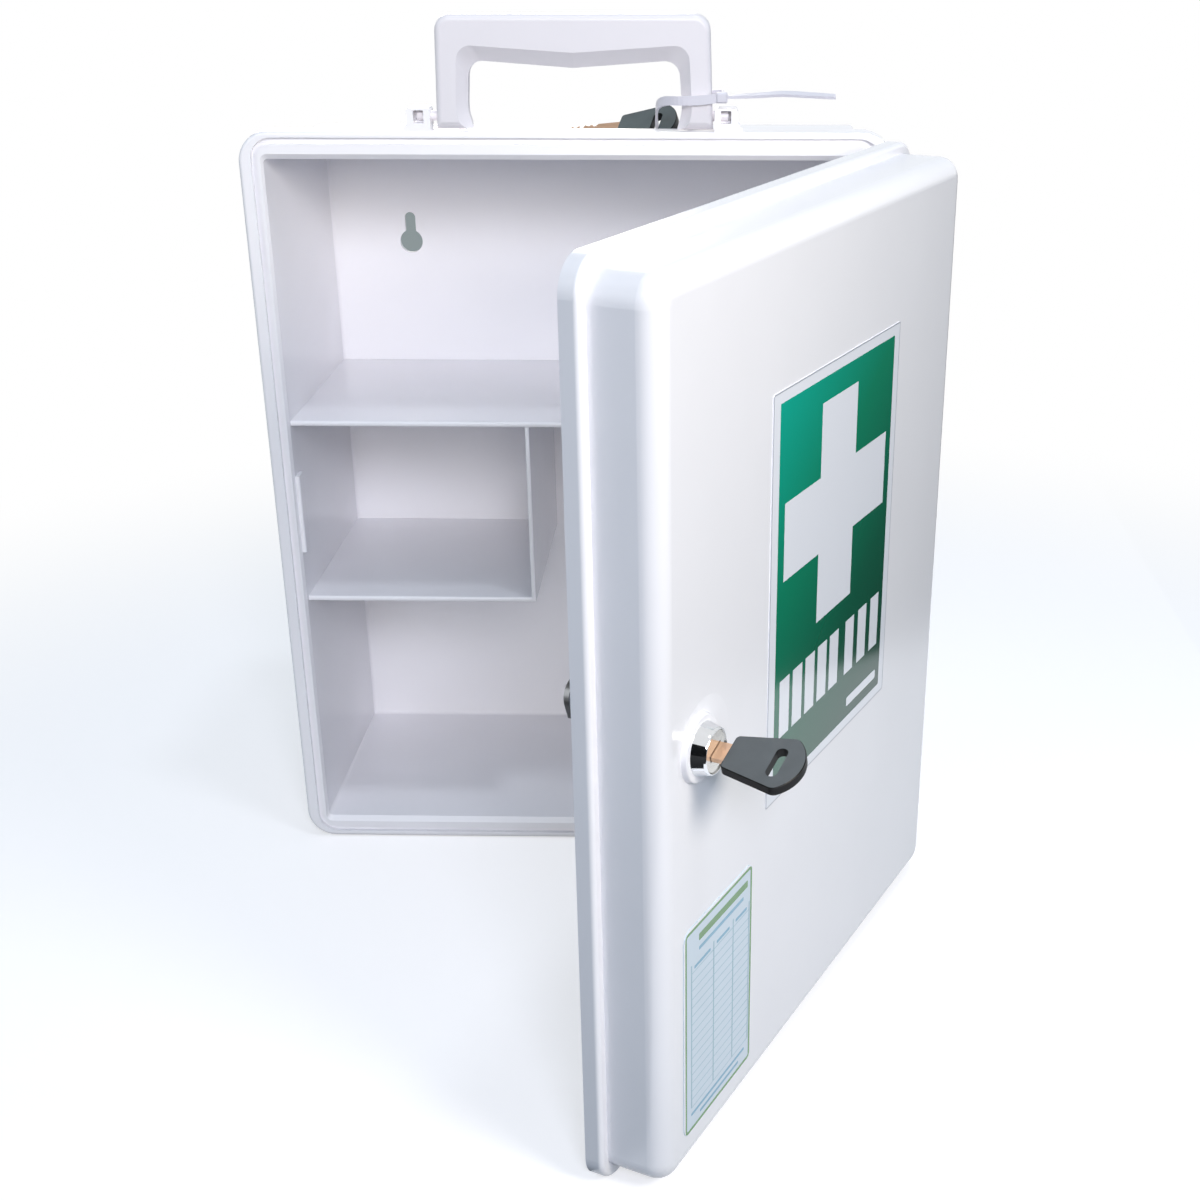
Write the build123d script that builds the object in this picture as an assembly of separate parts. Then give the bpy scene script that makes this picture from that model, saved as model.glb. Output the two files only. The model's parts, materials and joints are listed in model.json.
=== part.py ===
import os
from math import cos, radians, sin

from build123d import *

os.makedirs("parts", exist_ok=True)

# Driving dimensions in mm: X to the right, Y into the wall, Z up, origin on the base under the body's middle
body_width = 270.0
body_height = 331.5
body_depth = 114.5
wall = 2.3
front = -body_depth / 2
back = body_depth / 2

# The tub inside its rim: the opening at the front, drafted towards the back wall
opening_half = 125.1
floor_z = 10.3
ceiling_z = 320.3
tub_draft = 1.0
tub_inner_radius = 2.0
tub_outer_radius = 4.0

# The rim round the opening
rim_depth = 11.5
rim_radius = 13.0
rim_plate = 5.2
rim_edge_radius = 1.6
skirt = 2.5
groove_depth = 2.4
groove_half_width = 129.8
groove_low_z = 2.7
groove_high_z = 329.0
groove_width = 2.6
groove_radius = 9.0
bevel_run = 0.8
bevel_rise = 2.2
bevel_reach = 2.2

# Ribs that the base stands on, and the rib that the lock's cam catches
skid_places = (-85.0, 0.0, 85.0)
skid_half_width = 4.0
strike_z = (147.0, 183.0)
strike_y = (front + 2.2, front + 9.8)
strike_height = 1.9

# Shelves
shelf_thickness = 2.4
shelf_seat = 0.7
seat_gap = 0.1
upper_shelf_top = 208.1
upper_shelf_inset = 3.7
lower_shelf_top = 124.5
lower_shelf_inset = 4.7
divider_x = -20.7
divider_thickness = 1.9

# Keyholes in the back wall
keyhole_x = 85.5
keyhole_z = 266.2
keyhole_radius = 5.4
keyhole_slot = 5.0
keyhole_cut = (back - wall - 2, back + 2)
keyhole_top = 279.9

# Door, drawn closed and then swung open about its hinge
door_open_angle = 64.5
door_height = 330.3
door_gap = 1.1
door_flange_front = 7.9
door_flange_inset = 4.2
door_flange_radius = 12.0
door_face = 31.0
door_edge_radius = 7.4
door_corner_radius = 9.5
door_wall = 2.4
hinge_x = 138.2
hinge_y = front - 2.3
knuckle_radius = 2.8
hinge_pin_radius = 1.25
hinge_bore_gap = 0.05
hinge_heights = (42.0, 288.3)
knuckle_length = 10.0
knuckle_gap = 0.5
eye_length = 7.0
arm_thickness = 2.5

# Cam lock, on an axis square to the door
lock_x = -105.5
lock_z = 170.0
boss_height = 1.85
boss_base_radius = 12.5
boss_top_radius = 11.65
dish_radius = 18.5
dish_depth = 0.7
dish_shift = (4.5, -2.5)
lock_head_radius = 8.9
lock_head_height = 5.0
lock_head_edge = 0.9
barrel_radius = 7.9
barrel_flats = 13.8
barrel_length = 24.0
plug_radius = 6.1
plug_gap = 0.06
plug_face_radius = 7.5
plug_face_depth = 2.4
plug_recess = 0.5
keyway_half = (4.2, 1.4)
drive_half = 3.6
screw_radius = 1.6
wafer_count = 5
wafer_pitch = 3.0
wafer_half_height = 3.0
wafer_half_thickness = 0.5
key_angle = 20.0
cam_angle = 110.0
cam_tail = 6.5
cam_crank = 9.0
cam_reach = 18.9
cam_width = 12.0
cam_thickness = 2.0
cam_tip_y = front + 11.0

# Keys
key_thickness = 3.6
blade_thickness = 2.0
blade_height = 7.6
blade_reach = 15.5
blade_cuts = (1.4, 0.8, 2.0, 1.1, 1.7)
bow_start = 11.2
bow_neck = 7.2
bow_shoulder = (11.5, 31.2)
bow_end = 37.4
bow_slot = 28.4

# Carry handle and its lugs on top of the rim
handle_x = 4.4
handle_y = front + 5.4
handle_depth = 9.6
handle_half_base = 56.5
handle_half_top = 55.2
handle_top_z = 376.4
handle_leg = 12.6
handle_outer_radius = 6.5
handle_inner_radius = 6.0
handle_front_edge = 2.4
handle_flare = 2.4
handle_flare_height = 7.0
bevel_leg = 4.2
bevel_bar = 6.2
bevel_depth = 5.0
handle_bar_under = 358.8
handle_bar_dip = 355.7
handle_pivot_z = 337.2
handle_foot_radius = 5.2
pivot_radius = 2.0
lug_centre = 3.45
lug_inner = 58.1
lug_width = 9.6
lug_top_z = 340.6
lug_y = (front + 0.8, front + rim_depth - 0.8)
lug_foot = 2.0
lug_foot_z = body_height + 3.0
lug_bore_depth = 7.0
lug_pocket_x = (2.6, 6.8)
lug_pocket_half = 2.5

# Stickers on the door's face, as left, right, bottom and top edges with the door closed
sticker_thickness = 0.3
sign_edges = (-50.9, 65.9, 119.6, 273.3)
label_edges = (-116.6, -61.0, 17.1, 103.9)

# Spare key, held by its cord slot in the tie round the handle's right leg
spare_slot = (37.3, front + 22.7, 331.2)
spare_direction = (0.93, -0.30, 0.125)
spare_tilt = 31.0
tie_width = 3.6
tie_thickness = 1.1
tie_steps = 4


def block(low, high):
    size = [b - a for a, b in zip(low, high)]
    middle = [(a + b) / 2 for a, b in zip(low, high)]
    return Pos(*middle) * Box(*size)


def slab(x_range, z_range, y_range, radius, draft=0.0):
    # A rounded plate standing in X and Z, built up along Y
    x_low, x_high = x_range
    z_low, z_high = z_range
    base = Plane(((x_low + x_high) / 2, y_range[0], (z_low + z_high) / 2), (1, 0, 0), (0, 1, 0))
    outline = base * RectangleRounded(x_high - x_low, z_high - z_low, radius)
    return extrude(outline, amount=y_range[1] - y_range[0], taper=draft)


def rod_y(x, z, y_low, y_high, radius):
    base = Plane((x, y_low, z), (1, 0, 0), (0, 1, 0))
    return extrude(base * Circle(radius), amount=y_high - y_low)


def rod_z(x, y, z_low, z_high, radius):
    return extrude(Plane((x, y, z_low)) * Circle(radius), amount=z_high - z_low)


def rod_x(y, z, x_low, x_high, radius):
    base = Plane((x_low, y, z), (0, 1, 0), (1, 0, 0))
    return extrude(base * Circle(radius), amount=x_high - x_low)


def save(node, shape):
    solids = shape.solids()
    shape = solids[0] if len(solids) == 1 else Compound(children=list(solids))
    export_step(shape, f"parts/{node}.step")
    print(node, len(solids), round(shape.volume, 1))


def tub(offset, depth, radius):
    # The tub's volume, grown by offset on every side, with all its rear edges rounded
    x_range = (-opening_half - offset, opening_half + offset)
    z_range = (floor_z - offset, ceiling_z + offset)
    shape = slab(x_range, z_range, (front, front + depth), radius, tub_draft)
    return fillet(shape.faces().sort_by(Axis.Y)[-1].edges(), radius * 0.8)


def rim():
    half = body_width / 2
    plate = slab((-half, half), (0, body_height), (front, front + rim_depth), rim_radius)
    plate = fillet(plate.faces().sort_by(Axis.Y)[0].edges(), rim_edge_radius)
    hollow = slab(
        (skirt - half, half - skirt),
        (skirt, body_height - skirt),
        (front + rim_plate, front + rim_depth + 1),
        rim_radius - skirt,
    )
    groove_outer = slab(
        (-groove_half_width, groove_half_width),
        (groove_low_z, groove_high_z),
        (front - 1, front + groove_depth),
        groove_radius,
    )
    inner_half = groove_half_width - groove_width
    groove_inner = slab(
        (-inner_half, inner_half),
        (groove_low_z + groove_width, groove_high_z - groove_width),
        (front - 2, front + groove_depth + 1),
        groove_radius - groove_width,
    )
    return plate - hollow - (groove_outer - groove_inner)


def opening_bevel():
    # The lip falls away to the opening, more above and below than at the sides
    wide = Plane((0, front - 0.01, (floor_z + ceiling_z) / 2), (1, 0, 0), (0, 1, 0))
    deep = wide.offset(bevel_reach)
    height = ceiling_z - floor_z
    mouth_width = 2 * (opening_half + bevel_run)
    mouth = wide * RectangleRounded(mouth_width, height + 2 * bevel_rise, tub_inner_radius + 1)
    throat = deep * RectangleRounded(2 * opening_half - 0.1, height - 0.1, tub_inner_radius)
    return loft([mouth, throat])


def keyhole(x):
    # A round entry for the screw's head, and above it a slot for its shank
    half = keyhole_slot / 2
    end_z = keyhole_top - half
    entry = rod_y(x, keyhole_z, *keyhole_cut, keyhole_radius)
    neck = block(*zip((x - half, x + half), keyhole_cut, (keyhole_z, end_z)))
    return entry + neck + rod_y(x, end_z, *keyhole_cut, half)


def handle_lug(side):
    # A rounded post with a moulding pocket in its front and a bore for the handle's stub
    inner = lug_centre + side * lug_inner
    outer = inner + side * lug_width
    low_x, high_x = sorted((inner, outer))
    base_z = body_height - 1.0
    post = block(*zip((low_x, high_x), lug_y, (base_z, lug_top_z)))
    post = fillet(post.edges().filter_by(Axis.Y).sort_by(Axis.Z)[-2:], 1.6)
    foot_x = sorted((inner, outer + side * lug_foot))
    foot = block(*zip(foot_x, lug_y, (base_z, lug_foot_z)))
    top_edges = foot.edges().filter_by(Axis.Y).group_by(Axis.Z)[-1]
    foot = chamfer(top_edges.sort_by(Axis.X)[0 if side < 0 else -1], lug_foot - 0.1)
    bore_low, bore_high = sorted((inner - side, inner + side * lug_bore_depth))
    bore = rod_x(handle_y, handle_pivot_z, bore_low, bore_high, pivot_radius + hinge_bore_gap)
    pocket_x = sorted(inner + side * reach for reach in lug_pocket_x)
    pocket_z = (handle_pivot_z - lug_pocket_half, handle_pivot_z + lug_pocket_half)
    pocket = block(*zip(pocket_x, (front, handle_y), pocket_z))
    return post + foot - bore - pocket


def body_knuckle(height):
    # The arm leaves the rim's side behind the door and curls forward round the pin
    low = height - knuckle_length / 2
    high = height + knuckle_length / 2
    barrel = rod_z(hinge_x, hinge_y, low, high, knuckle_radius)
    arm_y = (front + 0.1, front + 0.1 + arm_thickness)
    arm = block(*zip((body_width / 2 - 1.5, hinge_x + 1.6), arm_y, (low, high)))
    web = block(*zip((hinge_x - 0.8, hinge_x + 1.6), (hinge_y, front + 1.0), (low, high)))
    bore = rod_z(hinge_x, hinge_y, low - 1, high + 1, hinge_pin_radius + hinge_bore_gap)
    return barrel + arm + web - bore


def door_knuckles(height):
    # Two eyes, above and below the body's knuckle, on short arms from the door's flange
    eyes = []
    for side in (-1, 1):
        near = height + side * (knuckle_length / 2 + knuckle_gap)
        far = near + side * eye_length
        low, high = sorted((near, far))
        barrel = rod_z(hinge_x, hinge_y, low, high, knuckle_radius)
        arm_y = (front - door_gap - arm_thickness + 0.25, front - door_gap)
        arm = block(*zip((body_width / 2 - 1.0, hinge_x), arm_y, (low, high)))
        eyes.append(barrel + arm - rod_z(hinge_x, hinge_y, low - 1, high + 1, hinge_pin_radius))
    return eyes


def shelf_slab(top, inset, seat, thickness=shelf_thickness):
    low = (-body_width, front + inset, top - thickness)
    high = (body_width, back, top)
    return block(low, high) & tub(seat, body_depth - wall + seat * 0.5, tub_inner_radius)


def shelf_groove(top, inset):
    return shelf_slab(top + seat_gap / 2, inset, shelf_seat + seat_gap, shelf_thickness + seat_gap)


def left_of_divider(shape):
    return shape & block((-body_width, front, 0), (divider_x + divider_thickness / 2, back, body_height))


def cabinet_body():
    shape = rim() + tub(wall, body_depth, tub_outer_radius)
    shape -= tub(0, body_depth - wall, tub_inner_radius)
    shape -= opening_bevel()
    for side in (-1, 1):
        shape -= keyhole(side * keyhole_x)
        shape += handle_lug(side)
    for x in skid_places:
        low = (x - skid_half_width, front + rim_depth + 2.5, 0)
        shape += block(low, (x + skid_half_width, back - 4, floor_z - 0.5))
    strike_x = (-opening_half - 1, -opening_half + strike_height)
    rib = block(*zip(strike_x, strike_y, strike_z))
    shape += fillet(rib.edges().filter_by(Axis.Z).sort_by(Axis.X)[-2:], 0.8)
    for height in hinge_heights:
        shape += body_knuckle(height)
    upper = shelf_groove(upper_shelf_top, upper_shelf_inset)
    lower = shelf_groove(lower_shelf_top, lower_shelf_inset)
    return shape - upper - left_of_divider(lower)


def front_rounded(shape, radius):
    edges = shape.faces().sort_by(Axis.Y)[0].edges().filter_by(Axis.X)
    return fillet(edges, radius)


def upper_shelf():
    return front_rounded(shelf_slab(upper_shelf_top, upper_shelf_inset, shelf_seat), 1.0)


def lower_shelf():
    return front_rounded(left_of_divider(shelf_slab(lower_shelf_top, lower_shelf_inset, shelf_seat)), 1.0)


def shelf_divider():
    low = (divider_x - divider_thickness / 2, front + upper_shelf_inset, lower_shelf_top)
    high = (divider_x + divider_thickness / 2, back, upper_shelf_top - shelf_thickness)
    panel = block(low, high) & tub(0, body_depth - wall, tub_inner_radius)
    return fillet(panel.faces().sort_by(Axis.Y)[0].edges().filter_by(Axis.Z), 0.7)


def opened(shape):
    return Pos(hinge_x, hinge_y, 0) * Rot(0, 0, door_open_angle) * Pos(-hinge_x, -hinge_y, 0) * shape


def door_shell():
    half = body_width / 2
    flange_y = (front - door_flange_front, front - door_gap)
    flange = slab((-half, half), (0, door_height), flange_y, door_flange_radius)
    flange = fillet(flange.faces().sort_by(Axis.Y)[0].edges(), 1.8)
    x_reach = half - door_flange_inset
    z_range = (door_flange_inset, door_height - door_flange_inset)
    shell_y = (front - door_face, front - door_flange_front)
    shell = slab((-x_reach, x_reach), z_range, shell_y, door_corner_radius)
    shell = fillet(shell.faces().sort_by(Axis.Y)[0].edges(), door_edge_radius)
    shape = flange + shell
    inner_reach = x_reach - door_wall
    hollow = slab(
        (-inner_reach, inner_reach),
        (z_range[0] + door_wall, z_range[1] - door_wall),
        (front - door_face + door_wall, front),
        door_corner_radius - door_wall,
    )
    hollow = fillet(hollow.faces().sort_by(Axis.Y)[0].edges(), door_edge_radius - door_wall)
    shape -= hollow
    ball = (dish_radius**2 + dish_depth**2) / (2 * dish_depth)
    dish_centre = (lock_x + dish_shift[0], front - door_face + dish_depth - ball, lock_z + dish_shift[1])
    shape -= Pos(*dish_centre) * Sphere(ball)
    shape += lock_boss()
    shape -= double_d(barrel_radius + 0.15, barrel_flats + 0.3, front - door_face - 5, front)
    for height in hinge_heights:
        for eye in door_knuckles(height):
            shape += eye
    return shape


def lock_boss():
    base = Plane((lock_x, front - door_face + dish_depth + 0.5, lock_z), (1, 0, 0), (0, -1, 0))
    height = boss_height + dish_depth + 0.5
    foot = base * Circle(boss_base_radius)
    top = base.offset(height) * Circle(boss_top_radius)
    boss = loft([foot, top])
    return fillet(boss.faces().sort_by(Axis.Y)[0].edges(), 0.6)


def double_d(radius, flats, y_low, y_high):
    rod = rod_y(lock_x, lock_z, y_low, y_high, radius)
    half = flats / 2
    return rod & block((lock_x - half, y_low - 1, lock_z - 20), (lock_x + half, y_high + 1, lock_z + 20))


def lock_ring(y_low, y_high, outer, inner):
    return rod_y(lock_x, lock_z, y_low, y_high, outer) - rod_y(lock_x, lock_z, y_low - 1, y_high + 1, inner)


head_back = front - door_face - boss_height
head_front = head_back - lock_head_height
barrel_end = front - door_face + barrel_length
inner_face = front - door_face + door_wall


def lock_body():
    head = rod_y(lock_x, lock_z, head_front, head_back, lock_head_radius)
    head = fillet(head.faces().sort_by(Axis.Y)[0].edges(), lock_head_edge)
    barrel = double_d(barrel_radius, barrel_flats, head_back - 0.5, barrel_end)
    bore = rod_y(lock_x, lock_z, head_front - 1, barrel_end + 1, plug_radius + plug_gap)
    seat_end = head_front + plug_recess + plug_face_depth + plug_gap
    seat = rod_y(lock_x, lock_z, head_front - 1, seat_end, plug_face_radius + plug_gap)
    return head + barrel - bore - seat


def lock_washer():
    ring = lock_ring(inner_face, inner_face + 1.0, 11.5, barrel_radius + 0.2)
    return fillet(ring.edges().filter_by(GeomType.CIRCLE).sort_by(Axis.Y)[-1:], 0.3)


def lock_nut():
    plane = Plane((lock_x, inner_face + 1.0, lock_z), (1, 0, 0), (0, 1, 0))
    hexagon = extrude(plane * RegularPolygon(11.0, 6, major_radius=False), amount=4.0)
    return hexagon - rod_y(lock_x, lock_z, inner_face, inner_face + 6, barrel_radius + 0.1)


def at_lock(angle):
    # From the door's face: local X across the key or along the cam, local Z out along the lock's axis
    turn = radians(angle)
    return Plane((lock_x, front - door_face, lock_z), (cos(turn), 0, sin(turn)), (0, -1, 0))


def key_frame(shape):
    return at_lock(key_angle).location * shape


def lock_plug():
    plug_front = head_front + plug_recess
    plug_end = barrel_end + 0.6
    barrel = rod_y(lock_x, lock_z, plug_front, plug_end, plug_radius)
    flange = rod_y(lock_x, lock_z, plug_front, plug_front + plug_face_depth, plug_face_radius)
    flange = chamfer(flange.faces().sort_by(Axis.Y)[0].edges(), 0.4)
    across, deep = keyway_half
    keyway = key_frame(block((-across, -deep, -blade_reach - 1), (across, deep, 9)))
    drive_low = (-drive_half, -drive_half, -barrel_length - 2.5)
    drive = key_frame(block(drive_low, (drive_half, drive_half, -barrel_length)))
    screw_hole = rod_y(lock_x, lock_z, plug_end - 6, plug_end + 3, screw_radius + 0.05)
    slots = key_frame(wafer_slots())
    return barrel + flange + drive - keyway - screw_hole - slots


def wafer_positions():
    return [-0.5 - wafer_pitch * index for index in range(wafer_count)]


def wafer_slots():
    # Slots right across the plug, with a little room round each plate
    gap = 0.1
    long = plug_radius + gap
    high = wafer_half_height + gap
    thick = wafer_half_thickness + gap
    group = [block((-long, -high, z - thick), (long, high, z + thick)) for z in wafer_positions()]
    return Compound(children=group)


def lock_wafers():
    # Brass plates across the plug with a window that the blade passes through
    plates = []
    for z in wafer_positions():
        low = (-plug_radius + 0.5, -wafer_half_height, z - wafer_half_thickness)
        high = (plug_radius - 0.5, wafer_half_height, z + wafer_half_thickness)
        plate = block(low, high) & Pos(0, 0, z) * Cylinder(plug_radius, 2)
        across, deep = keyway_half
        window = block((-across - 0.2, -deep - 0.2, z - 1), (across + 0.2, deep + 0.2, z + 1))
        plates.append(key_frame(plate - window))
    return Compound(children=plates)


def lock_cam():
    root_y = barrel_end + 0.65
    # Side profile: reach from the lock's axis against depth behind the door
    profile = [
        (-cam_tail, root_y),
        (cam_crank, root_y),
        (cam_crank, cam_tip_y),
        (cam_reach, cam_tip_y),
        (cam_reach, cam_tip_y + cam_thickness),
        (cam_crank - cam_thickness, cam_tip_y + cam_thickness),
        (cam_crank - cam_thickness, root_y + cam_thickness),
        (-cam_tail, root_y + cam_thickness),
    ]
    frame = at_lock(cam_angle).location
    points = [(reach, 0, front - door_face - y) for reach, y in profile]
    strip = extrude(make_face(Polyline(*points, close=True)), amount=cam_width / 2, both=True)
    outline = SlotOverall(cam_reach + cam_tail, cam_width)
    mask = Pos((cam_reach - cam_tail) / 2, 0, -60) * extrude(outline, amount=70)
    hole_half = drive_half + 0.1
    square = block((-hole_half, -hole_half, -60), (hole_half, hole_half, 0))
    turned = Rot(0, 0, key_angle - cam_angle) * square
    hole = turned & block((-cam_crank, -cam_crank, -60), (cam_crank - cam_thickness, cam_crank, 0))
    return frame * ((strip & mask) - hole)


def cam_screw():
    seat = barrel_end + 0.65 + cam_thickness
    head = rod_y(lock_x, lock_z, seat, seat + 2.4, 4.8)
    head = fillet(head.faces().sort_by(Axis.Y)[-1].edges(), 1.0)
    shank = rod_y(lock_x, lock_z, seat - 6, seat, screw_radius)
    cross = block((lock_x - 2.4, seat + 1.2, lock_z - 0.4), (lock_x + 2.4, seat + 3, lock_z + 0.4))
    cross += block((lock_x - 0.4, seat + 1.2, lock_z - 2.4), (lock_x + 0.4, seat + 3, lock_z + 2.4))
    return head + shank - cross


def blade_solid():
    # Local Z points out of the lock; the cuts are in one edge of the blade
    half = blade_height / 2
    blade = block((-half, -blade_thickness / 2, -blade_reach), (half, blade_thickness / 2, bow_start + 3))
    blade = chamfer(blade.edges().filter_by(Axis.Y).sort_by(Axis.Z)[:2], 2.0)
    for z, depth in zip(wafer_positions(), blade_cuts):
        outline = ((half + 0.1, 1.5), (half - depth, 0.4), (half - depth, -0.4), (half + 0.1, -1.5))
        points = [(x, -2, z + offset) for x, offset in outline]
        notch = extrude(make_face(Polyline(*points, close=True)), amount=4, dir=(0, 1, 0))
        blade -= notch
    return blade


def bow_solid():
    # A fan with rounded corners, a bulging end and a slot for a cord
    wide, shoulder = bow_shoulder
    outline = [
        Line((-bow_neck, bow_start), (bow_neck, bow_start)),
        Line((bow_neck, bow_start), (wide, shoulder)),
        ThreePointArc((wide, shoulder), (0, bow_end), (-wide, shoulder)),
        Line((-wide, shoulder), (-bow_neck, bow_start)),
    ]
    sheet = Plane.XZ * make_face(Curve() + outline)
    bow = extrude(sheet, amount=key_thickness / 2, both=True)
    bow = fillet(bow.edges().filter_by(Axis.Y).group_by(Axis.Z)[0], 1.6)
    bow = fillet(bow.edges().filter_by(Axis.Y).group_by(Axis.Z)[-1], 3.0)
    slot = Plane.XZ * (Pos(-0.3, bow_slot) * SlotOverall(12.6, 4.0))
    bow = chamfer(bow.faces().sort_by(Axis.Y)[0].edges() + bow.faces().sort_by(Axis.Y)[-1].edges(), 0.3)
    return bow - extrude(slot, amount=key_thickness, both=True)


def key_blade():
    return key_frame(blade_solid())


def key_bow():
    return key_frame(bow_solid() - blade_solid())


def sticker(edges, radius):
    left, right, bottom, top = edges
    y_range = (front - door_face - sticker_thickness, front - door_face)
    return slab((left, right), (bottom, top), y_range, radius)


def spare_plane():
    # The key's own Z runs from the blade to the bow's end, its X across the bow, rising to the back
    along = Vector(*spare_direction).normalized()
    up = (Vector(0, 0, 1) - along * along.Z).normalized()
    rear = up.cross(along)
    tilt = radians(spare_tilt)
    across = rear * cos(tilt) + up * sin(tilt)
    return Plane(Vector(*spare_slot) - along * bow_slot, across, along)


def strap_point(points, place):
    # Catmull-Rom curve through the points, with the value of place counted in points
    index = min(int(place), len(points) - 2)
    t = place - index
    before = points[max(index - 1, 0)]
    start = points[index]
    end = points[index + 1]
    after = points[min(index + 2, len(points) - 1)]
    blend = (
        -0.5 * t + t**2 - 0.5 * t**3,
        1 - 2.5 * t**2 + 1.5 * t**3,
        0.5 * t + 2 * t**2 - 1.5 * t**3,
        -0.5 * t**2 + 0.5 * t**3,
    )
    total = before * blend[0]
    for weight, point in zip(blend[1:], (start, end, after)):
        total += point * weight
    return total


def strap(stations):
    # A flat strap that turns as it goes: each station is a place and the direction of the strap's width
    places = [Vector(x, front + y, z) for (x, y, z), _ in stations]
    widths = [Vector(*direction) for _, direction in stations]
    sections = []
    count = (len(stations) - 1) * tie_steps
    for step in range(count + 1):
        place = step / tie_steps
        centre = strap_point(places, place)
        ahead = strap_point(places, min(place + 0.05, len(places) - 1))
        behind = strap_point(places, max(place - 0.05, 0))
        tangent = (ahead - behind).normalized()
        across = strap_point(widths, place)
        across = (across - tangent * across.dot(tangent)).normalized()
        sections.append(Plane(centre, across, tangent) * Rectangle(tie_width, tie_thickness))
    return loft(sections, ruled=True)


def cable_tie():
    # Round the leg in front and behind, down through the key's slot and back under the bow's end
    loop = strap([
        ((62.8, -0.9, 344.9), (0, 0, 1)),
        ((55.0, -0.9, 344.0), (0, 0, 1)),
        ((47.0, -0.4, 343.8), (0, 0, 1)),
        ((41.6, 4.0, 343.2), (0, 0.2, 1)),
        ((38.4, 10.0, 341.2), (0, 0.45, 0.9)),
        ((37.4, 16.9, 337.4), (0, 0.66, 0.75)),
        ((37.3, 22.7, 331.2), (0, 0.857, 0.515)),
        ((39.0, 25.6, 326.6), (-0.1, 0.95, 0.3)),
        ((43.4, 25.8, 325.2), (0, 1, 0.1)),
        ((48.0, 22.6, 328.0), (0.35, 0.9, 0.2)),
        ((51.4, 17.4, 334.2), (0.6, 0.6, 0.2)),
        ((55.0, 12.8, 341.0), (-0.2, 0.2, 1)),
        ((59.5, 11.9, 344.4), (-0.1, 0, 1)),
        ((64.4, 9.0, 345.3), (0, 0, 1)),
        ((65.0, 4.0, 345.3), (0, 0, 1)),
        ((64.6, 0.6, 345.2), (0, 0, 1)),
    ])
    tail = strap([
        ((66.4, -0.4, 345.2), (0, 1, 0)),
        ((70.0, 0.6, 345.4), (0, 1, 0.1)),
        ((79.0, 1.8, 345.7), (0, 1, 0.2)),
        ((89.0, 2.0, 346.3), (0, 1, 0.3)),
        ((100.0, 2.2, 345.8), (0, 1, 0.3)),
        ((110.5, 2.4, 345.2), (0, 1, 0.2)),
    ])
    head = block((62.2, front - 2.6, 343.0), (66.8, front + 1.6, 347.2))
    head = chamfer(head.edges(), 0.6)
    return loop + head + tail


def hinge_pin(height):
    half = knuckle_length / 2 + knuckle_gap + eye_length
    return opened(rod_z(hinge_x, hinge_y, height - half, height + half, hinge_pin_radius))


def grip_outline(plane, side_grow, top_grow):
    # The hand hole: legs that flare at the feet, rounded corners and a bar that dips to a shallow V
    base = handle_half_base - handle_leg + side_grow
    top = handle_half_top - handle_leg + side_grow
    foot_z = handle_pivot_z - handle_foot_radius
    bar_z = handle_bar_under + top_grow
    right = [
        (base - handle_flare, foot_z - 1),
        (base, foot_z + handle_flare_height),
        (top, bar_z),
    ]
    left = [(-x, z) for x, z in reversed(right)]
    outline = make_face(Polyline(*right, (0, handle_bar_dip + top_grow), *left, close=True))
    corners = outline.vertices().filter_by_position(Axis.Y, bar_z - 0.1, bar_z + 0.1)
    outline = fillet(corners, handle_inner_radius)
    knees = outline.vertices().filter_by_position(Axis.Y, foot_z + 6, foot_z + 8)
    return plane * fillet(knees, 18.0)


def carry_handle():
    # An arch on two stub pivots, its front edges rounded outside and bevelled towards the hand
    foot_z = handle_pivot_z - handle_foot_radius
    front_face = Plane((handle_x, handle_y - handle_depth / 2, 0), (1, 0, 0), (0, -1, 0))
    outer = Polyline(
        (-handle_half_base, foot_z),
        (handle_half_base, foot_z),
        (handle_half_top, handle_top_z),
        (-handle_half_top, handle_top_z),
        close=True,
    )
    shape = extrude(front_face * make_face(outer), amount=-handle_depth)
    shape = fillet(shape.edges().filter_by(Axis.Y).group_by(Axis.Z)[-1], handle_outer_radius)
    shape = fillet(shape.faces().sort_by(Axis.Y)[0].edges().sort_by(Axis.Z)[1:], handle_front_edge)
    shape = fillet(shape.faces().sort_by(Axis.Y)[-1].edges().sort_by(Axis.Z)[1:], handle_front_edge / 2)
    shape -= extrude(grip_outline(front_face, 0, 0), amount=handle_depth + 1, both=True)
    throat = grip_outline(front_face.offset(-bevel_depth), 0, 0)
    shape -= loft([grip_outline(front_face, bevel_leg, bevel_bar), throat], ruled=True)
    reach = handle_half_base + 1
    low = (handle_x - reach, handle_y - handle_depth, foot_z - 1)
    high = (handle_x + reach, handle_y + handle_depth, handle_pivot_z)
    shape -= block(low, high) - rod_x(handle_y, handle_pivot_z, low[0], high[0], handle_foot_radius)
    for side in (-1, 1):
        base = handle_x + side * handle_half_base
        wall_x = lug_centre + side * (lug_inner + 5.6)
        low_x, high_x = sorted((base - side * 4, wall_x))
        shape += rod_x(handle_y, handle_pivot_z, low_x, high_x, pivot_radius)
    return shape


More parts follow.
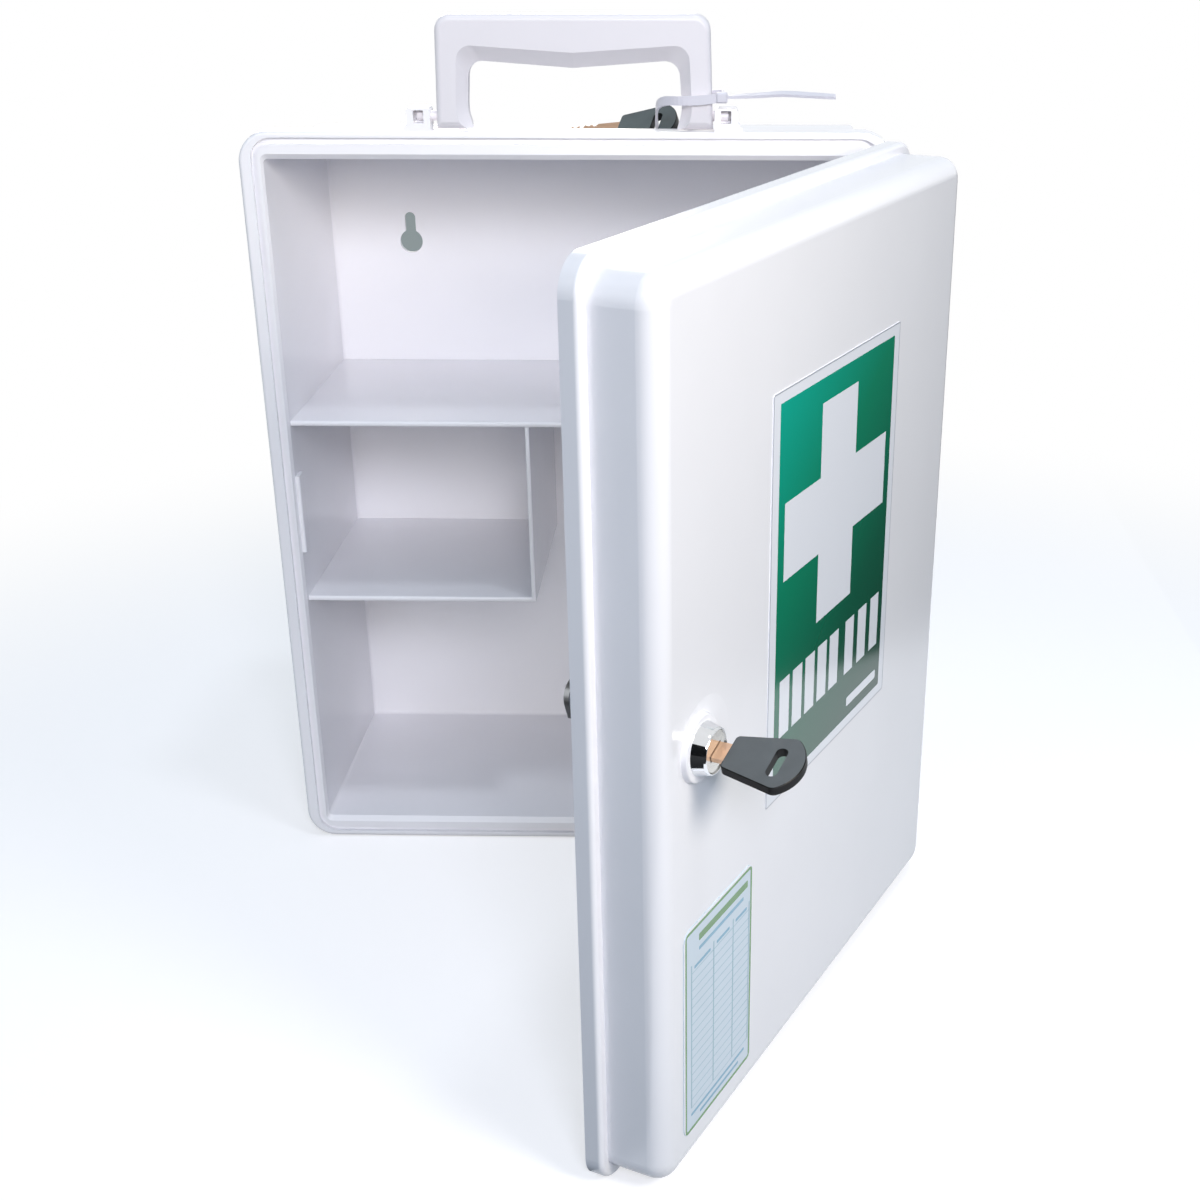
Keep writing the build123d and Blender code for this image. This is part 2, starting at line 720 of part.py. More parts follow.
nodes = {
    "cabinet_body": cabinet_body(),
    "upper_shelf": upper_shelf(),
    "lower_shelf": lower_shelf(),
    "shelf_divider": shelf_divider(),
    "hinge_pin_lower": hinge_pin(hinge_heights[0]),
    "hinge_pin_upper": hinge_pin(hinge_heights[1]),
    "door_shell": opened(door_shell()),
    "first_aid_sign": opened(sticker(sign_edges, 1.0)),
    "record_label": opened(sticker(label_edges, 5.0)),
    "lock_body": opened(lock_body()),
    "lock_washer": opened(lock_washer()),
    "lock_nut": opened(lock_nut()),
    "lock_plug": opened(lock_plug()),
    "lock_wafers": opened(lock_wafers()),
    "lock_cam": opened(lock_cam()),
    "cam_screw": opened(cam_screw()),
    "key_blade": opened(key_blade()),
    "key_bow": opened(key_bow()),
    "carry_handle": carry_handle(),
    "cable_tie": cable_tie(),
    "spare_key_blade": spare_plane().location * blade_solid(),
    "spare_key_bow": spare_plane().location * (bow_solid() - blade_solid()),
}

for node, shape in nodes.items():
    save(node, shape)
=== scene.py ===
import bmesh
import bpy
import json
from math import cos, pi, radians, sin
from mathutils import Matrix, Vector


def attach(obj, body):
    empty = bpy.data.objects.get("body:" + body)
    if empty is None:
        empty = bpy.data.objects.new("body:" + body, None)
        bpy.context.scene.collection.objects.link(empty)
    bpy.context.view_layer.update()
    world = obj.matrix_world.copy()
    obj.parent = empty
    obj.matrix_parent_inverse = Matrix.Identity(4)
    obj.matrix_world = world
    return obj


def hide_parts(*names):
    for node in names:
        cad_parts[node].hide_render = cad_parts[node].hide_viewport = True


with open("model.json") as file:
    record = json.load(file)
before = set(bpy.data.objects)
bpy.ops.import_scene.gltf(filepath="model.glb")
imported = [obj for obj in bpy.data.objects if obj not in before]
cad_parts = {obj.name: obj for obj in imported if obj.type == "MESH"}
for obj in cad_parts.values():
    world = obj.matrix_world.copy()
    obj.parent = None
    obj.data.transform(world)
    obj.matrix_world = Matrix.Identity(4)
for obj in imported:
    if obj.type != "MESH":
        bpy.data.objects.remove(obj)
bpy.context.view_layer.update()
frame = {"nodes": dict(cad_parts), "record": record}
nodes = frame["nodes"]
bodies = frame["record"]["behaviour"]["bodies"]
mm = 0.001
plainWhite = (1.0, 1.0, 1.0, 1.0)


# Helpers for colours, nodes and objects
def linear(hexColour, factor=1.0):
    channels = [int(hexColour[i:i + 2], 16) / 255 for i in (1, 3, 5)]
    return [factor * (c / 12.92 if c <= 0.04045 else ((c + 0.055) / 1.055) ** 2.4) for c in channels] + [1.0]


def addNode(tree, kind, inputs=None, **settings):
    # An input that is another node's socket is linked, and any other value is set
    node = tree.nodes.new(kind)
    for name, value in settings.items():
        setattr(node, name, value)
    for socket, value in (inputs or {}).items():
        if isinstance(value, bpy.types.NodeSocket):
            tree.links.new(value, node.inputs[socket])
        else:
            node.inputs[socket].default_value = value
    return node


def maths(tree, operation, *inputs):
    return addNode(tree, "ShaderNodeMath", dict(enumerate(inputs)), operation=operation).outputs[0]


def vectorMaths(tree, operation, *inputs):
    sockets = (0, 3) if operation == "SCALE" else (0, 1)  # the node's scale is its fourth input
    return addNode(tree, "ShaderNodeVectorMath", dict(zip(sockets, inputs)), operation=operation).outputs


def mapRange(tree, value, start, end, low, high, **settings):
    inputs = {"Value": value, "From Min": start, "From Max": end, "To Min": low, "To Max": high}
    return addNode(tree, "ShaderNodeMapRange", inputs, **settings).outputs[0]


def mixColour(tree, factor, first, second):
    return addNode(tree, "ShaderNodeMix", {0: factor, 6: first, 7: second}, data_type="RGBA").outputs[2]


def objectPlace(tree):
    return addNode(tree, "ShaderNodeTexCoord").outputs["Object"]


def noise(tree, scale, detail):
    inputs = {"Vector": objectPlace(tree), "Scale": scale, "Detail": detail}
    return addNode(tree, "ShaderNodeTexNoise", inputs).outputs["Fac"]


def bump(tree, height, strength, distance):
    inputs = {"Height": height, "Strength": strength, "Distance": distance}
    return addNode(tree, "ShaderNodeBump", inputs).outputs["Normal"]


def newMaterial(name):
    material = bpy.data.materials.new(name)
    material.use_nodes = True
    material.node_tree.nodes.clear()
    return material, material.node_tree


def finishMaterial(tree, shader):
    addNode(tree, "ShaderNodeOutputMaterial", {"Surface": shader.outputs[0]})


def addObject(name, data):
    made = bpy.data.objects.new(name, data)
    bpy.context.scene.collection.objects.link(made)
    return made


# Camera, found from the cabinet's own corners in the photo
camera = {
    "place": (0.06767, -0.79478, 0.42680),  # metres
    "pitchDown": 0.438691,  # radians
    "yaw": 0.020375,
    "sensor": 36.0,  # millimetres
    "lens": 52.13,
    "shift": (-0.0771, 0.0741),
}
cameraData = bpy.data.cameras.new("photoCamera")
cameraData.sensor_fit = "HORIZONTAL"
cameraData.sensor_width = camera["sensor"]
cameraData.lens = camera["lens"]
cameraData.shift_x, cameraData.shift_y = camera["shift"]
cameraObject = addObject("photoCamera", cameraData)
cameraObject.location = camera["place"]
cameraObject.rotation_euler = (pi / 2 - camera["pitchDown"], 0, camera["yaw"])
bpy.context.scene.camera = cameraObject
print("camera placed")

# Light: an even pale room and five round lamps, in metres and watts
room = {"colour": "#d4edff", "strength": 0.42}
lamps = {
    "key": {"place": (0.28, -1.32, 0.88), "size": 0.32, "colour": "#eef2ff", "power": 6.5},
    "ceiling": {"place": (0.40, -0.45, 2.0), "size": 0.22, "colour": "#f2f8ff", "power": 5.0},
    "near": {"place": (0.45, -0.62, 0.50), "size": 0.2, "colour": "#fff7ea", "power": 2.55},
    "back": {"place": (-0.45, 1.75, 0.95), "size": 0.9, "colour": "#fff8ef", "power": 22.0},
    "front": {"place": (0.20, -2.25, 0.90), "size": 1.4, "colour": "#fff9f3", "power": 19.5},
}
lampTarget = Vector((0.05, -0.1, 0.2))


def areaLamp(name, values):
    data = bpy.data.lights.new(name + "Lamp", "AREA")
    data.shape = "DISK"
    data.size = values["size"]
    data.energy = values["power"]
    data.color = linear(values["colour"])[:3]
    lamp = addObject(name + "Lamp", data)
    place = Vector(values["place"])
    lamp.location = place
    lamp.rotation_euler = (lampTarget - place).to_track_quat("-Z", "Y").to_euler()
    return lamp


lampObjects = {name: areaLamp(name, values) for name, values in lamps.items()}

world = bpy.data.worlds.new("paleRoom")
bpy.context.scene.world = world
world.use_nodes = True
tree = world.node_tree
tree.nodes.clear()
ray = addNode(tree, "ShaderNodeLightPath").outputs
seen = maths(tree, "MAXIMUM", ray["Is Camera Ray"], ray["Is Transmission Ray"])
seen = maths(tree, "MAXIMUM", seen, ray["Is Glossy Ray"])
roomGlow = {"Color": linear(room["colour"]), "Strength": room["strength"]}
ambient = addNode(tree, "ShaderNodeBackground", roomGlow)
backdrop = addNode(tree, "ShaderNodeBackground", {"Color": plainWhite, "Strength": 1.0})
either = addNode(tree, "ShaderNodeMixShader", {0: seen, 1: ambient.outputs[0], 2: backdrop.outputs[0]})
addNode(tree, "ShaderNodeOutputWorld", {"Surface": either.outputs[0]})
bpy.context.scene.view_settings.view_transform = "Standard"
print("light made")


# Stage: a pale floor that fades to the white backdrop, black flags that only gloss and plating mirror, and
# glowing grey cards of painted shade behind the keyholes
def level(left, right, near, far, height):
    return [(left, near, height), (right, near, height), (right, far, height), (left, far, height)]


def upright(left, right, depth, low, high):
    return [(left, depth, low), (right, depth, low), (right, depth, high), (left, depth, high)]


stage = {
    "floorColour": "#cbcbd0",  # to the camera and in reflections
    "floorBounce": "#5e646b",  # as it lights the cabinet
    "floorRoughness": 0.9,
    "floorGlow": 0.5,
    "floorHalf": 6.0,
    "floorHeight": -0.0004,
    "fadeMiddle": (0.06, -0.12, 0.0),
    "fadeStart": 0.36,
    "fadeEnd": 0.78,
    "flagColour": "#101214",
    "keyholeShadeColour": "#8d9799",
    "wallDepth": 0.0605,
    "wallHalf": 0.012,
    "wallHeights": (0.256, 0.284),
    "keyholes": {"keyholeShadeLeft": -0.0855, "keyholeShadeRight": 0.0855},
}
flags = {
    "flagRight": level(0.355, 4.0, -0.52, 4.0, 0.0),
    "flagFront": level(-4.0, 4.0, -4.0, -0.52, 0.0),
    "flagBehindCamera": upright(-1.4, 2.2, -3.2, 0.0, 2.6),
    "flagLeft": level(-0.34, 0.02, -0.52, -0.25, 0.0),
    "flagAbove": level(-1.3, -0.22, -0.9, 0.6, 1.2),
}


def stagePiece(name, corners, material, hiddenFrom=()):
    mesh = bpy.data.meshes.new(name)
    mesh.from_pydata(corners, [], [tuple(range(len(corners)))])
    mesh.materials.append(material)
    piece = addObject(name, mesh)
    for kind in hiddenFrom:
        setattr(piece, "visible_" + kind, False)
    return piece


floorMaterial, tree = newMaterial("mattWhitePaintedBoard")  # matt board by the cabinet, plain white far off
ray = addNode(tree, "ShaderNodeLightPath").outputs
straight = maths(tree, "MAXIMUM", ray["Is Camera Ray"], ray["Is Glossy Ray"])
shade = mixColour(tree, straight, linear(stage["floorBounce"]), linear(stage["floorColour"]))
board = addNode(tree, "ShaderNodeBsdfPrincipled", {"Base Color": shade, "Roughness": stage["floorRoughness"]})
lift = maths(tree, "MULTIPLY", straight, stage["floorGlow"])
glow = addNode(tree, "ShaderNodeEmission", {"Color": plainWhite, "Strength": lift})
lifted = addNode(tree, "ShaderNodeAddShader", {0: board.outputs[0], 1: glow.outputs[0]})
away = vectorMaths(tree, "DISTANCE", objectPlace(tree), stage["fadeMiddle"])["Value"]
fade = mapRange(tree, away, stage["fadeStart"], stage["fadeEnd"], 0.0, 1.0, interpolation_type="SMOOTHSTEP")
plain = addNode(tree, "ShaderNodeEmission", {"Color": plainWhite, "Strength": 1.0})
finishMaterial(tree, addNode(tree, "ShaderNodeMixShader", {
    0: maths(tree, "MULTIPLY", fade, straight), 1: lifted.outputs[0], 2: plain.outputs[0]}))
half = stage["floorHalf"]
floor = stagePiece("floor", level(-half, half, -half, half, stage["floorHeight"]), floorMaterial)

flagMaterial, tree = newMaterial("blackFelt")  # matt black cloth: something dark for gloss to mirror
finishMaterial(tree, addNode(tree, "ShaderNodeBsdfPrincipled", {
    "Base Color": linear(stage["flagColour"]), "Roughness": 1.0}))
for name, corners in flags.items():
    stagePiece(name, corners, flagMaterial, ("camera", "diffuse", "transmission", "shadow"))

keyholeShadeMaterial, tree = newMaterial("keyholeShadeCard")  # painted shade: a glowing grey card in the shaded gap behind each keyhole, clear from behind
paint = addNode(tree, "ShaderNodeEmission", {"Color": linear(stage["keyholeShadeColour"]), "Strength": 1.0})
clear = addNode(tree, "ShaderNodeBsdfTransparent")
side = addNode(tree, "ShaderNodeNewGeometry").outputs["Backfacing"]
finishMaterial(tree, addNode(tree, "ShaderNodeMixShader", {
    0: side, 1: paint.outputs[0], 2: clear.outputs[0]}))
half = stage["wallHalf"]
for name, x in stage["keyholes"].items():
    corners = upright(x - half, x + half, stage["wallDepth"], *stage["wallHeights"])
    stagePiece(name, corners, keyholeShadeMaterial, ("diffuse", "shadow"))


# Three lamps light only some pieces
def lampGroup(name, members, excluded):
    group = bpy.data.collections.new(name)
    for member in members:
        group.objects.link(member)
    if excluded:
        for entry in group.collection_objects:
            entry.light_linking.link_state = "EXCLUDE"
    return group


cabinetObjects = [nodes[name] for name in bodies["cabinet"]]
handleObjects = [nodes[name] for name in bodies["handle"]]
# The handle is so near this lamp that it would burn out
notLitByNear = lampGroup("notLitByNearLamp", handleObjects, True)
lampObjects["near"].light_linking.receiver_collection = notLitByNear
# The lamp behind throws no shadow forward on the floor
notLitByBack = lampGroup("notLitByBackLamp", [floor], True)
lampObjects["back"].light_linking.receiver_collection = notLitByBack
# The open door neither catches this lamp nor shades the inside from it
litByFront = lampGroup("litByFrontLamp", cabinetObjects + handleObjects + [floor], False)
lampObjects["front"].light_linking.receiver_collection = litByFront
lampObjects["front"].light_linking.blocker_collection = litByFront
print("stage made")

# Door: millimetres of the closed door, turned to the open door's place
door = {"hinge": (138.2, -59.55, 0.0), "opening": 64.5, "back": -57.25, "depth": 31.0, "sticker": 0.3}
hinge = Vector(door["hinge"]) * mm
opened = Matrix.Rotation(radians(door["opening"]), 4, "Z")
doorTurn = Matrix.Translation(hinge) @ opened @ Matrix.Translation(-hinge)
stickerFace = door["back"] - door["depth"] - door["sticker"]

# Materials: lengths in metres, and noise scales per metre where a length isn't given
moulding = {
    "white": "#f3f2f7",
    "glossy": 0.22,
    "satin": 0.34,
    "smoother": 0.05,
    "rougher": 0.045,
    "grain": 0.0012,
    "grainHeight": 0.000012,
    "cloud": 0.045,
    "cloudShade": 0.94,
}
plating = {"marksStrength": 0.25, "marksHeight": 0.00001}
bow = {
    "sheenStarts": 0.80,
    "sheenFull": 0.97,
    "grain": 2600.0,
    "grainHeight": 0.00003,
    "wear": 160.0,
    "wearPaler": 1.5,
    "edgeSheen": 0.2,
    "faceSheen": 0.6,
    "roughness": 0.42,
}
laminate = {"ior": 1.5, "waves": 55.0, "waveStrength": 0.2, "waveHeight": 0.0001}


def mouldedAbs(name, colour, roughness):
    material, tree = newMaterial(name)  # moulded plastic: even skin, faint orange peel from the polished tool
    grain = noise(tree, 1 / moulding["grain"], 2.0)
    cloud = noise(tree, 1 / moulding["cloud"], 3.0)
    gloss = mapRange(tree, cloud, 0.0, 1.0, roughness - moulding["smoother"], roughness + moulding["rougher"])
    finishMaterial(tree, addNode(tree, "ShaderNodeBsdfPrincipled", {
        "IOR": 1.54,
        "Base Color": mixColour(tree, cloud, linear(colour), linear(colour, moulding["cloudShade"])),
        "Roughness": gloss,
        "Normal": bump(tree, grain, 0.5, moulding["grainHeight"])}))
    return material


def plated(name, colour, roughness, scratch, spread):
    material, tree = newMaterial(name)  # plated or machined metal: fine random marks in the finish
    marks = noise(tree, 1 / scratch, 4.0)
    finishMaterial(tree, addNode(tree, "ShaderNodeBsdfPrincipled", {
        "Base Color": linear(colour),
        "Metallic": 1.0,
        "Roughness": mapRange(tree, marks, 0.0, 1.0, roughness - spread, roughness + spread),
        "Normal": bump(tree, marks, plating["marksStrength"], plating["marksHeight"])}))
    return material


def nylonWithPaintedSheen(name, node, sheenColour, edgeColour):
    material, tree = newMaterial(name)  # nylon key bow: broad faces paler by painted sheen, with random paler wear and a spark texture; blacker smooth edges
    across = max(nodes[node].data.polygons, key=lambda p: p.area).normal
    surface = addNode(tree, "ShaderNodeTexCoord").outputs["Normal"]
    facing = maths(tree, "ABSOLUTE", vectorMaths(tree, "DOT_PRODUCT", surface, across)["Value"])
    # The broad faces' paler colour is painted sheen, mixed in by how squarely a surface lies across the bow
    face = mapRange(tree, facing, bow["sheenStarts"], bow["sheenFull"], 0.0, 1.0)
    grain = noise(tree, bow["grain"], 2.0)
    wear = noise(tree, bow["wear"], 3.0)
    wornSheen = mixColour(tree, wear, linear(sheenColour), linear(sheenColour, bow["wearPaler"]))
    finishMaterial(tree, addNode(tree, "ShaderNodeBsdfPrincipled", {
        "Base Color": mixColour(tree, face, linear(edgeColour), wornSheen),
        "Roughness": bow["roughness"],
        "Specular IOR Level": mapRange(tree, face, 0.0, 1.0, bow["edgeSheen"], bow["faceSheen"]),
        "Normal": bump(tree, grain, 0.5, bow["grainHeight"])}))
    return material


def printed(name, colour, roughness):
    material, tree = newMaterial(name)  # print under a clear gloss laminate: even colour, slight waviness
    wave = noise(tree, laminate["waves"], 1.0)
    finishMaterial(tree, addNode(tree, "ShaderNodeBsdfPrincipled", {
        "Base Color": linear(colour),
        "Roughness": roughness,
        "IOR": laminate["ior"],
        "Normal": bump(tree, wave, laminate["waveStrength"], laminate["waveHeight"])}))
    return material


def printWithPaintedShade(name, values):
    material, tree = newMaterial(name)  # ink under gloss laminate, with painted shade: darker from the top corner to the foot, where less light falls
    closed = doorTurn.inverted()
    flat = addNode(tree, "ShaderNodeMapping", {
        "Vector": objectPlace(tree), "Location": closed.to_translation(), "Rotation": closed.to_euler()})
    axes = addNode(tree, "ShaderNodeSeparateXYZ", {0: flat.outputs[0]}).outputs
    left, right, low, high = (edge * mm for edge in values["panel"])
    across = mapRange(tree, axes["X"], left, right, 0.0, values["acrossShare"])
    down = mapRange(tree, axes["Z"], high, low, 0.0, values["downShare"])
    ramp = addNode(tree, "ShaderNodeValToRGB", {"Fac": maths(tree, "ADD", across, down)})
    for index, (place, colour) in enumerate(values["paintedShadeStops"]):
        stop = ramp.color_ramp.elements[index] if index < 2 else ramp.color_ramp.elements.new(place)
        stop.position = place
        stop.color = linear(colour)
    finishMaterial(tree, addNode(tree, "ShaderNodeBsdfPrincipled", {
        "Base Color": ramp.outputs[0], "Roughness": values["roughness"], "IOR": laminate["ior"]}))
    return material


# The ramp paints shade on the green: lightest at the top corner, darkest at the foot
greenPanel = {
    "panel": (-45.2, 60.4, 124.0, 269.1),
    "acrossShare": 0.33,
    "downShare": 0.67,
    "roughness": 0.1,
    "paintedShadeStops": ((0.0, "#04a791"), (1.0, "#023f2e"), (0.33, "#02805f"), (0.66, "#035a42")),  # ends come first
}
whiteAbs = mouldedAbs("glossyMouldedAbs", moulding["white"], moulding["glossy"])
handleAbs = mouldedAbs("satinMouldedAbs", "#fbf5f8", moulding["satin"])
tieNylon = mouldedAbs("naturalNylon", "#ece8f0", moulding["satin"])
chrome = plated("polishedChromePlate", "#dfe1e4", 0.07, 0.002, 0.03)
brass = plated("machinedBrass", "#e9c3a6", 0.36, 0.0006, 0.08)
nickel = plated("nickelPlatedPlugFace", "#d8d6d0", 0.2, 0.0009, 0.06)
zinc = plated("zincPlatedSteel", "#b9bcc0", 0.37, 0.0008, 0.08)
# The first colour is the faces' painted sheen, the second the edges' own black
bowPlastic = nylonWithPaintedSheen("sparkTexturedBlackNylonPaintedSheen", "key_bow", "#43484b", "#08090b")
spareBowPlastic = nylonWithPaintedSheen("wornBlackNylonPaintedSheen", "spare_key_bow", "#434f51", "#15191a")
paperVinyl = printed("laminatedWhiteVinyl", "#e9ebf3", 0.14)
labelVinyl = printed("laminatedPaleBlueVinyl", "#cbdae7", 0.2)
clearMargin = printed("clearVinylMargin", moulding["white"], 0.2)
cutLine = printed("sheenedCutEdge", "#a9abb5", 0.3)
greenInk = printWithPaintedShade("laminatedGreenPrintPaintedShade", greenPanel)
whiteInk = printed("laminatedWhitePrint", "#e8eaf2", 0.12)
outlineInk = printed("laminatedLeafGreenPrint", "#5d8f55", 0.2)
tableInk = printed("laminatedPaleBluePrint", "#9dbccb", 0.2)
blueInk = printed("laminatedBluePrint", "#7aa9c4", 0.2)

finishes = {
    "cabinet_body": whiteAbs, "upper_shelf": whiteAbs, "lower_shelf": whiteAbs, "shelf_divider": whiteAbs,
    "door_shell": whiteAbs, "carry_handle": handleAbs,
    "first_aid_sign": paperVinyl, "record_label": labelVinyl,
    "lock_body": chrome, "lock_washer": zinc, "lock_nut": zinc, "lock_cam": zinc, "cam_screw": zinc,
    "hinge_pin_lower": zinc, "hinge_pin_upper": zinc, "lock_plug": nickel, "lock_wafers": brass,
    "key_blade": brass, "spare_key_blade": brass, "key_bow": bowPlastic, "spare_key_bow": spareBowPlastic,
    "cable_tie": tieNylon,
}
for name, material in finishes.items():
    mesh = nodes[name].data
    mesh.materials.clear()
    mesh.materials.append(material)
print("CAD nodes finished")


# Helpers for pieces on the door
def doorPiece(name, mesh):
    piece = addObject(name, mesh)
    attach(piece, "door")
    return piece


def newNodeGroup(name, sockets):
    tree = bpy.data.node_groups.new(name, "GeometryNodeTree")
    for socket, kind in sockets.items():
        tree.interface.new_socket(socket, in_out="INPUT", socket_type="NodeSocket" + kind)
    tree.interface.new_socket("Geometry", in_out="OUTPUT", socket_type="NodeSocketGeometry")
    return tree, addNode(tree, "NodeGroupInput").outputs


def closeNodeGroup(tree, geometry, material):
    real = addNode(tree, "GeometryNodeRealizeInstances", {0: geometry})
    coated = addNode(tree, "GeometryNodeSetMaterial", {"Geometry": real.outputs[0], "Material": material})
    addNode(tree, "NodeGroupOutput", {0: coated.outputs[0]})


def grown(name, group, inputs, place, startMesh=None):
    # Runs a node group on an empty or a given mesh, and keeps the result as a plain mesh
    carrier = addObject(name + "Carrier", startMesh or bpy.data.meshes.new(name + "Carrier"))
    modifier = carrier.modifiers.new("grow", "NODES")
    modifier.node_group = group
    for item in group.interface.items_tree:
        if item.in_out == "INPUT" and item.name in inputs:
            modifier[item.identifier] = inputs[item.name]
    bpy.context.view_layer.update()
    mesh = bpy.data.meshes.new_from_object(carrier.evaluated_get(bpy.context.evaluated_depsgraph_get()))
    bpy.data.objects.remove(carrier)
    mesh.transform(place)
    return doorPiece(name, mesh)


def addPlate(bm, outline, height, thickness):
    # A flat patch of print on the sticker; its outline goes round in X and Z
    y = (stickerFace - height) * mm
    face = bm.faces.new([bm.verts.new((x * mm, y, z * mm)) for x, z in outline])
    made = bmesh.ops.extrude_face_region(bm, geom=[face])
    for item in made["geom"]:
        if isinstance(item, bmesh.types.BMVert):
            item.co.y -= thickness * mm


def addRing(bm, outer, inner, height, thickness):
    y = (stickerFace - height) * mm
    loops = [[bm.verts.new((x * mm, y - depth * mm, z * mm)) for x, z in loop]
             for depth in (0, thickness) for loop in (outer, inner)]
    count = len(outer)
    for near, far in ((0, 1), (1, 3), (3, 2), (2, 0)):
        for i in range(count):
            j = (i + 1) % count
            bm.faces.new((loops[near][i], loops[near][j], loops[far][j], loops[far][i]))


def printPiece(name, material, thickness, rings=(), plates=(), height=0.0):
    bm = bmesh.new()
    for outer, inner in rings:
        addRing(bm, outer, inner, height, thickness)
    for outline in plates:
        addPlate(bm, outline, height, thickness)
    bmesh.ops.recalc_face_normals(bm, faces=bm.faces)
    mesh = bpy.data.meshes.new(name)
    bm.to_mesh(mesh)
    bm.free()
    mesh.transform(doorTurn)
    mesh.materials.append(material)
    return doorPiece(name, mesh)


def roundedBox(left, right, low, high, radius, steps=6):
    corners = [(right - radius, high - radius, 0), (left + radius, high - radius, 90),
               (left + radius, low + radius, 180), (right - radius, low + radius, 270)]
    points = []
    for x, z, start in corners:
        for step in range(steps + 1):
            turn = radians(start + 90 * step / steps)
            points.append((x + radius * cos(turn), z + radius * sin(turn)))
    return points


def inset(edges, by):
    left, right, low, high = edges
    return left + by, right - by, low + by, high - by


# The lock body again, with a head that tapers towards its face, as a cast and plated rosette does
taper = {  # millimetres
    "seat": (-105.5, -90.1, 170.0),
    "start": -0.05,
    "height": 5.0,
    "innerRadius": 7.62,
    "movedFrom": 7.95,
    "footGrowth": 0.40,  # share of the flange outside the inner radius
    "faceGrowth": -0.70,
    "weld": 0.001,
}
headTree, given = newNodeGroup("taperedHead", {
    "Geometry": "Geometry", "Seat": "Vector", "Outward": "Vector", "Start": "Float", "Height": "Float",
    "Inner Radius": "Float", "Moved From": "Float", "Foot Growth": "Float", "Face Growth": "Float",
    "Plating": "Material"})
spot = addNode(headTree, "GeometryNodeInputPosition").outputs[0]
fromSeat = vectorMaths(headTree, "SUBTRACT", spot, given["Seat"])["Vector"]
rise = vectorMaths(headTree, "DOT_PRODUCT", fromSeat, given["Outward"])["Value"]
along = vectorMaths(headTree, "SCALE", given["Outward"], rise)["Vector"]
radial = vectorMaths(headTree, "SUBTRACT", fromSeat, along)["Vector"]
reach = vectorMaths(headTree, "LENGTH", radial)["Value"]
growth = mapRange(headTree, rise, 0.0, given["Height"], given["Foot Growth"], given["Face Growth"])
shift = maths(headTree, "MULTIPLY", maths(headTree, "SUBTRACT", reach, given["Inner Radius"]), growth)
offset = vectorMaths(headTree, "SCALE", vectorMaths(headTree, "NORMALIZE", radial)["Vector"], shift)["Vector"]
outside, above = (
    addNode(headTree, "FunctionNodeCompare", {0: measure, 1: least}, operation="GREATER_THAN").outputs[0]
    for measure, least in ((reach, given["Moved From"]), (rise, given["Start"])))
onHead = addNode(headTree, "FunctionNodeBooleanMath", {0: outside, 1: above})
moved = addNode(headTree, "GeometryNodeSetPosition", {
    "Geometry": given["Geometry"], "Selection": onHead.outputs[0], "Offset": offset})
closeNodeGroup(headTree, moved.outputs[0], given["Plating"])

bm = bmesh.new()
bm.from_mesh(nodes["lock_body"].data)
bmesh.ops.remove_doubles(bm, verts=bm.verts, dist=taper["weld"] * mm)
straightHead = bpy.data.meshes.new("straightHead")
bm.to_mesh(straightHead)
bm.free()
taperedBody = grown("tapered_lock_body", headTree, {
    "Seat": list(doorTurn @ (Vector(taper["seat"]) * mm)),
    "Outward": list(doorTurn.to_3x3() @ Vector((0, -1, 0))),
    "Start": taper["start"] * mm,
    "Height": taper["height"] * mm,
    "Inner Radius": taper["innerRadius"] * mm,
    "Moved From": taper["movedFrom"] * mm,
    "Foot Growth": taper["footGrowth"],
    "Face Growth": taper["faceGrowth"],
    "Plating": chrome}, Matrix.Identity(4), straightHead)
taperedBody.data.shade_flat()
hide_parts("lock_body")
print("lock head tapered")

# A row of equal printed lines, one step apart
lineTree, given = newNodeGroup("ruledLines", {
    "Geometry": "Geometry", "Lines": "Int", "First": "Vector", "Step": "Vector", "Size": "Vector",
    "Ink": "Material"})
row = addNode(lineTree, "GeometryNodeMeshLine", {
    "Count": given["Lines"], "Start Location": given["First"], "Offset": given["Step"]}, mode="OFFSET")
line = addNode(lineTree, "GeometryNodeMeshCube", {"Size": given["Size"]})
lines = addNode(lineTree, "GeometryNodeInstanceOnPoints", {
    "Points": row.outputs[0], "Instance": line.outputs[0]})
closeNodeGroup(lineTree, lines.outputs[0], given["Ink"])

# Print on the first aid sign, in the closed door's millimetres; boxes are left, right, low, high
sign = {
    "edges": (-50.9, 65.9, 119.6, 273.3),
    "trim": 0.5,
    "trimHeight": 0.03,
    "outerCorner": 1.0,
    "innerCorner": 0.6,
    "crossCentre": (7.66, 218.7),
    "uprightArm": (16.5, 41.4),  # half width and half height
    "levelArm": (47.6, 14.3),
    "blockRows": {"sign_title_blocks": (5, -36.7, 11.6), "sign_title_blocks_right": (3, 25.4, 13.1)},
    "blockSize": (8.6, 22.6),
    "blockMiddle": 155.2,
    "footerBar": (25.0, 56.0, 128.6, 132.4),
    "footerCorner": 1.0,
    "inkHeight": 0.05,
}
ink = sign["inkHeight"]
outer = roundedBox(*sign["edges"], sign["outerCorner"])
inner = roundedBox(*inset(sign["edges"], sign["trim"]), sign["innerCorner"])
printPiece("sign_cut_line", cutLine, sign["trimHeight"], rings=[(outer, inner)])
greenOutline = roundedBox(*greenPanel["panel"], sign["innerCorner"])
printPiece("sign_green_print", greenInk, ink, plates=[greenOutline])
middleX, middleZ = sign["crossCentre"]
(ax, az), (bx, bz) = sign["uprightArm"], sign["levelArm"]
crossTurns = (
    (ax, bz), (ax, az), (-ax, az), (-ax, bz), (-bx, bz), (-bx, -bz),
    (-ax, -bz), (-ax, -az), (ax, -az), (ax, -bz), (bx, -bz), (bx, bz),
)
crossOutline = [(middleX + x, middleZ + z) for x, z in crossTurns]
